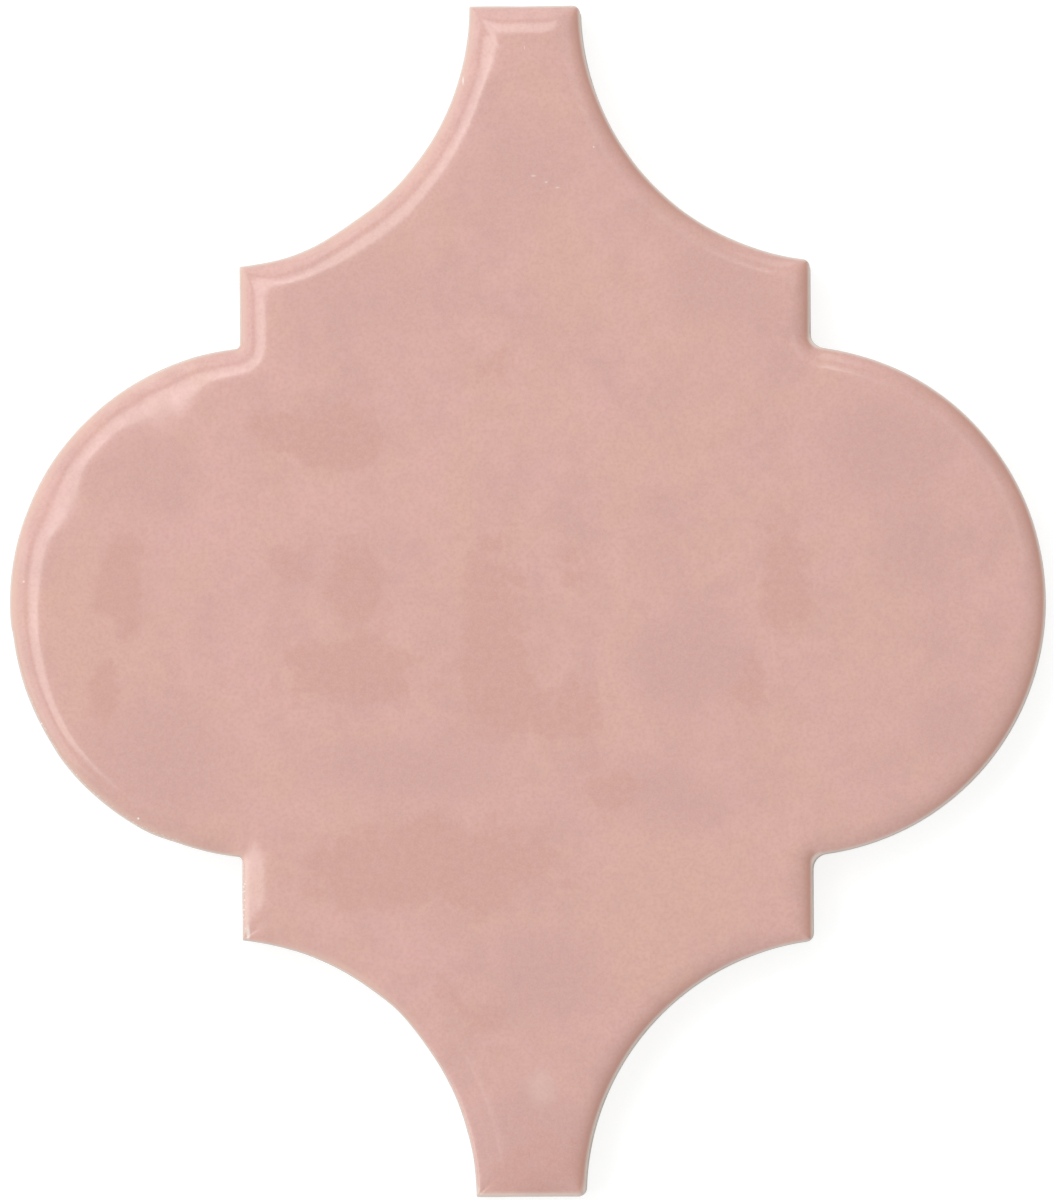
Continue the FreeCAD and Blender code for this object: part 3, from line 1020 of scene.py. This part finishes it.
bpy.ops.mesh.primitive_plane_add(size=4, location=(0, 0, -GAP * MM))
floor = bpy.context.object
floor.name = "floor"
paper = bpy.data.materials.new("white_paper")
paper.use_nodes = True
floor.data.materials.append(paper)
tree = paper.node_tree
shader = tree.nodes["Principled BSDF"]
shader.inputs["Roughness"].default_value = 0.9
seen = add_node(tree, "LightPath").outputs["Is Camera Ray"]
link(tree, blend(tree, PAPER, SEEN_PAPER, seen), shader.inputs["Base Color"])
shader.inputs["Emission Color"].default_value = (1, 1, 1, 1)
glow = add_node(tree, "Math", operation="MULTIPLY")
glow.inputs[1].default_value = GLOW
link(tree, seen, glow.inputs[0])
link(tree, glow.outputs["Value"], shader.inputs["Emission Strength"])
print("floor:", floor.name, "at", round(floor.location.z / MM, 3), "mm")

# %% [markdown]
# ## The sky
#
# A tile is photographed in a white tent, so the light is nearly even and the glaze mirrors white all
# round. An even white world does that. It lights the tile a little less brightly than it shows in
# reflections, or the pink would wash out before the reflections were right.

# %% An even white sky
SKY = 0.62  # strength as a light; in reflections it is 1

world = bpy.data.worlds.new("studio")
bpy.context.scene.world = world
world.use_nodes = True
tree = world.node_tree
rays = add_node(tree, "LightPath")
seen = rays.outputs["Is Camera Ray"]
for kind in ("Is Glossy Ray", "Is Transmission Ray"):
    most = add_node(tree, "Math", operation="MAXIMUM")
    link(tree, seen, most.inputs[0])
    link(tree, rays.outputs[kind], most.inputs[1])
    seen = most.outputs["Value"]
level = add_node(tree, "MapRange")
level.inputs["To Min"].default_value = SKY
level.inputs["To Max"].default_value = 1.0
link(tree, seen, level.inputs["Value"])
sky = tree.nodes["Background"]
sky.inputs["Color"].default_value = (1, 1, 1, 1)
link(tree, level.outputs["Result"], sky.inputs["Strength"])
print("nodes in the sky:", len(tree.nodes))

# %% [markdown]
# ## Soft boxes
#
# Soft boxes stand in an arc from the top round to the left and draw the bright line along the upper left
# rim. Only a weak pair stands at the upper right, so the right rim stays darker. One large lamp from
# above would be mirrored by the whole face. Small ones off to the side are mirrored only where the rim
# tilts a little towards them, and the wide fills behind them, lower down, only on its steep outer part.

# %% Lamps round the upper left
BOX_AWAY = 1.3  # metres
KEY_LEAN = 24.5  # degrees from straight above
FILL_LEAN = 55
KEYS = [(29, 0.5), (61, 0.25), (97, 2.5), (129, 2.5), (161, 2.5), (193, 2.5)]  # side and radiance
FILL_SIDES = (99, 145, 191)


def soft_box(name, side, lean, distance, along, across, radiance):
    """A lamp at this side (degrees from +X towards +Y), leaning this far from straight above.

    Its two lengths are given as shares of its distance, so it looks the same from further away.
    """
    side, lean = math.radians(side), math.radians(lean)
    flat = distance * math.sin(lean)
    place = (flat * math.cos(side), flat * math.sin(side), distance * math.cos(lean))
    bpy.ops.object.light_add(type="AREA", location=place, rotation=(0, lean, side))
    lamp = bpy.context.object
    lamp.name = name
    lamp.data.shape = "RECTANGLE"
    lamp.data.size = along * distance
    lamp.data.size_y = across * distance
    lamp.data.energy = radiance * math.pi * lamp.data.size * lamp.data.size_y
    print(name, "has", round(lamp.data.energy, 3), "watts")


for side, radiance in KEYS:
    soft_box(f"key_{side}", side, KEY_LEAN, BOX_AWAY, along=0.26, across=0.25, radiance=radiance)
for side in FILL_SIDES:
    soft_box(f"fill_{side}", side, FILL_LEAN, BOX_AWAY, along=0.56, across=0.72, radiance=1.0)

# %% [markdown]
# ## The camera
#
# It looks down on the tile through a long lens from three metres away, which keeps the outline free of
# perspective. It leans about two degrees to the right and a little to the bottom, so the right side wall
# shows as a thin line. The lens is worked out from the height that the picture shows.

# %% Camera
AWAY = 3.0
FRAME_HEIGHT = 0.151  # metres from the top to the bottom of the picture, at the face of the tile
LEAN_DOWN = 1.5
LEAN_RIGHT = 2.2
ROLL = -0.28

turn = Euler((math.radians(LEAN_DOWN), math.radians(LEAN_RIGHT), math.radians(ROLL)))
looking = Vector((0, 0, -1))
looking.rotate(turn)
aim = Vector((-0.01 * MM, 0.126 * MM, 8 * MM))
bpy.ops.object.camera_add(location=aim - looking * AWAY, rotation=turn)
camera = bpy.context.object
camera.data.sensor_fit = "VERTICAL"
camera.data.lens = camera.data.sensor_height * AWAY / FRAME_HEIGHT
bpy.context.scene.camera = camera
bpy.context.scene.view_settings.view_transform = "Standard"
print("lens in mm:", round(camera.data.lens, 1))
